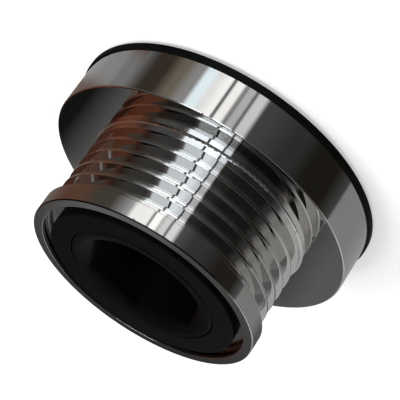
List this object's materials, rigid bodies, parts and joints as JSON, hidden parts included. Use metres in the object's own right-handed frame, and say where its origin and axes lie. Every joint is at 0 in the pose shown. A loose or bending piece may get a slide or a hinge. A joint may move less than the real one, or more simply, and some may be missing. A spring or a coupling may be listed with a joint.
{
  "type": "overrunning alternator pulley",
  "caption": "Poly-V belt pulley with a wide spring drum at its back, a sprung one-way hub and a hexagon socket.",
  "frame": {"origin": "centre of the hub's rear seat face, on the pulley's axis", "axes": "+Z along the pulley's axis towards the front end with the hexagon socket; two corners of the hexagon lie on X"},
  "size_m": [0.0778, 0.0778, 0.0394],
  "materials": {
    "machined_steel": "turned and satin ground",
    "black_coated_steel": "black coating, satin",
    "black_seal": "matt moulded surface",
    "blackened_steel": "black oxide, dull",
    "bearing_steel": "ground",
    "spring_steel": "bright drawn wire",
    "sealing_rubber": "matt",
    "bearing_nylon": "moulded, unpainted",
    "bush_bronze": "sintered, oily"
  },
  "bodies": {
    "pulley": {"pulley_body": "machined_steel", "rear_cover": "black_coated_steel", "cover_o_ring": "sealing_rubber", "rear_seal": "sealing_rubber", "rear_bush": "bush_bronze", "arc_spring_a": "spring_steel", "arc_spring_b": "spring_steel", "slide_shell_a": "bearing_nylon", "slide_shell_b": "bearing_nylon", "friction_ring": "bearing_nylon", "diaphragm_spring": "spring_steel", "needle_cup": "bearing_steel", "front_seal": "black_seal"},
    "spring_flange": {"drive_flange": "bearing_steel", "clutch_sleeve": "bearing_steel"},
    "hub": {"hub": "blackened_steel", "ramp_ring": "bearing_steel", "clutch_rollers": "bearing_steel", "clutch_cage": "bearing_nylon", "clutch_springs": "spring_steel", "clutch_washer_front": "bearing_steel", "clutch_washer_rear": "bearing_steel", "retaining_ring": "spring_steel"},
    "needle_set": {"needle_rollers": "bearing_steel", "needle_cage": "bearing_nylon"}
  },
  "joints": [
    {"name": "flange_windup", "type": "hinge", "parent": "pulley", "child": "spring_flange", "pos_m": [0, 0, 0], "axis": [0, 0, 1], "range_deg": [-12, 40], "stiffness_Nm_per_rad": 15, "deforming": ["arc_spring_a", "arc_spring_b"]},
    {"name": "hub_spin", "type": "hinge", "parent": "pulley", "child": "hub", "pos_m": [0, 0, 0], "axis": [0, 0, 1], "continuous": true},
    {"name": "needle_cage_spin", "type": "hinge", "parent": "pulley", "child": "needle_set", "pos_m": [0, 0, 0], "axis": [0, 0, 1], "continuous": true}
  ],
  "couplings": [
    {"joint": "needle_cage_spin", "follows": "hub_spin", "ratio": 0.4674}
  ]
}
